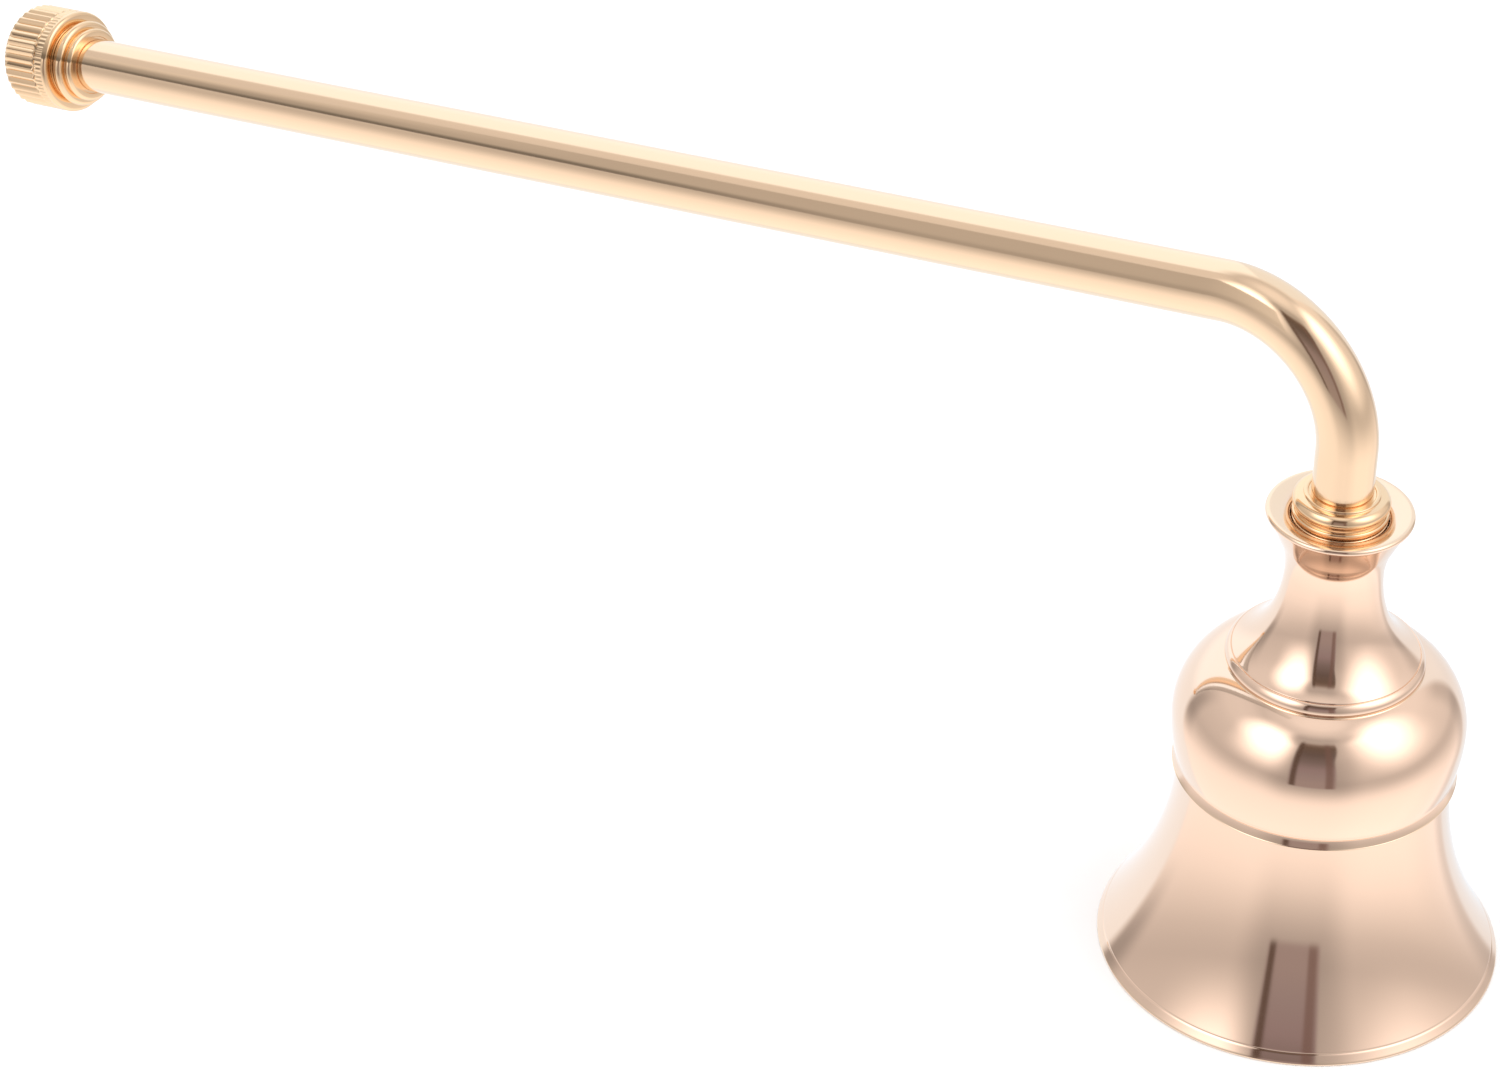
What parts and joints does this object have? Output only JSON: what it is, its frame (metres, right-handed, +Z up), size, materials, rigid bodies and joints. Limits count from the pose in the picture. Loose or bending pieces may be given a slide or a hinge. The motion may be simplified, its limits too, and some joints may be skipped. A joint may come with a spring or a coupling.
{
  "type": "candle snuffer",
  "caption": "Candle snuffer with a flared bell of stepped shells that swivels under a bent tube handle with beaded collars and a knurled screw-on end knob.",
  "frame": {"origin": "centre of the bell's mouth, in the plane of the rim it stands on", "axes": "+Z up along the bell's axis, -X the way the handle points, +Y across"},
  "size_m": [0.2035, 0.043, 0.0794],
  "materials": {
    "bell_metal": "mirror polished, pinkish gold plate",
    "handle_metal": "satin, drawn lengthwise, pale gold plate",
    "trim_metal": "bright turned, gold plate",
    "inner_metal": "as turned, bare",
    "screw_metal": "zinc plated"
  },
  "bodies": {
    "handle_assembly": {"handle_tube": "handle_metal", "bell_end_plug": "inner_metal", "handle_collar": "trim_metal", "thrust_washer": "trim_metal", "bell_screw": "screw_metal", "flat_washer": "screw_metal", "spring_washer": "screw_metal", "knob_collar": "trim_metal", "knob_end_plug": "inner_metal"},
    "bell_assembly": {"bell_skirt": "bell_metal", "bell_dome": "bell_metal", "bell_neck": "bell_metal", "neck_bush": "inner_metal"},
    "washer_carrier": {"knob_washer": "trim_metal"},
    "knob_assembly": {"knob": "trim_metal", "knob_stud": "screw_metal"}
  },
  "joints": [
    {"name": "bell_swivel", "type": "hinge", "parent": "handle_assembly", "child": "bell_assembly", "pos_m": [0, 0, 0.05], "axis": [0, 0, 1], "continuous": true},
    {"name": "knob_travel", "type": "slide", "parent": "handle_assembly", "child": "washer_carrier", "axis": [-0.9848, 0, -0.1736], "range_m": [0, 0.003]},
    {"name": "knob_turn", "type": "hinge", "parent": "washer_carrier", "child": "knob_assembly", "pos_m": [-0.17411, 0, 0.0481], "axis": [-0.9848, 0, -0.1736], "range_deg": [0, 2160]}
  ],
  "couplings": [
    {"joint": "knob_turn", "follows": "knob_travel", "rad_per_m": 12566}
  ]
}
